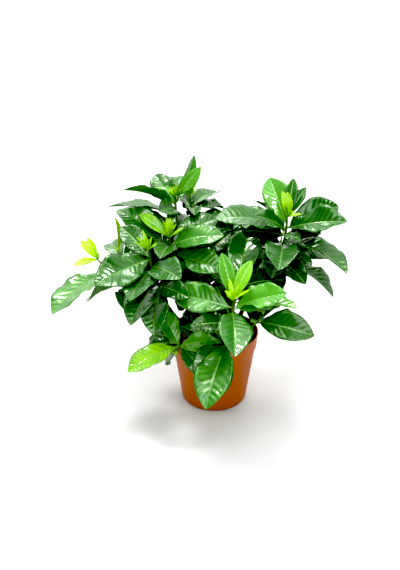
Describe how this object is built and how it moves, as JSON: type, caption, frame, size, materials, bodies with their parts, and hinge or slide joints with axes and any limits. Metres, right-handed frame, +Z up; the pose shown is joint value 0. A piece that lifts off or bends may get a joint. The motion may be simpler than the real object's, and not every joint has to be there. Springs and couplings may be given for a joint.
{
  "type": "potted gardenia",
  "caption": "Bushy gardenia with glossy leaves in rosettes and bright young tips, in soil in a tapered nursery pot.",
  "frame": {"origin": "centre of the flat underside of the pot", "axes": "+Z up along the pot's axis, -Y towards the front of the plant, +X to its right"},
  "size_m": [0.4107, 0.3412, 0.3532],
  "materials": {
    "pot_plastic": "terracotta-coloured, satin",
    "potting_soil": "moist, crumbly potting mix",
    "bark": "young grey-brown bark",
    "leaf": "glossy, leathery leaf",
    "young_leaf": "soft, satin young leaf"
  },
  "bodies": {
    "root": {"pot": "pot_plastic", "soil": "potting_soil", "wood_left": "bark", "wood_outer": "bark", "wood_right": "bark", "wood_front": "bark", "wood_back": "bark", "wood_sprig": "bark", "shoot_sprig": "leaf", "bud_sprig": "young_leaf", "shoot_apron": "leaf", "bud_apron": "young_leaf", "shoot_front": "leaf", "bud_front": "young_leaf", "shoot_centre": "leaf", "bud_centre": "young_leaf", "shoot_low_right": "leaf", "bud_low_right": "young_leaf", "shoot_middle_left": "leaf", "bud_middle_left": "young_leaf", "shoot_left": "leaf", "bud_left": "young_leaf", "shoot_crown": "leaf", "bud_crown": "young_leaf", "shoot_right": "leaf", "bud_right": "young_leaf", "shoot_crown_back": "leaf", "bud_crown_back": "young_leaf", "shoot_far_left": "leaf", "bud_far_left": "young_leaf", "shoot_behind": "leaf", "bud_behind": "young_leaf", "shoot_inner": "leaf", "bud_inner": "young_leaf", "shoot_back_left": "leaf", "bud_back_left": "young_leaf", "shoot_right_back": "leaf", "bud_right_back": "young_leaf", "shoot_far_back": "leaf", "bud_far_back": "young_leaf", "shoot_back_centre": "leaf", "bud_back_centre": "young_leaf", "shoot_low_left": "leaf", "bud_low_left": "young_leaf"}
  },
  "joints": []
}
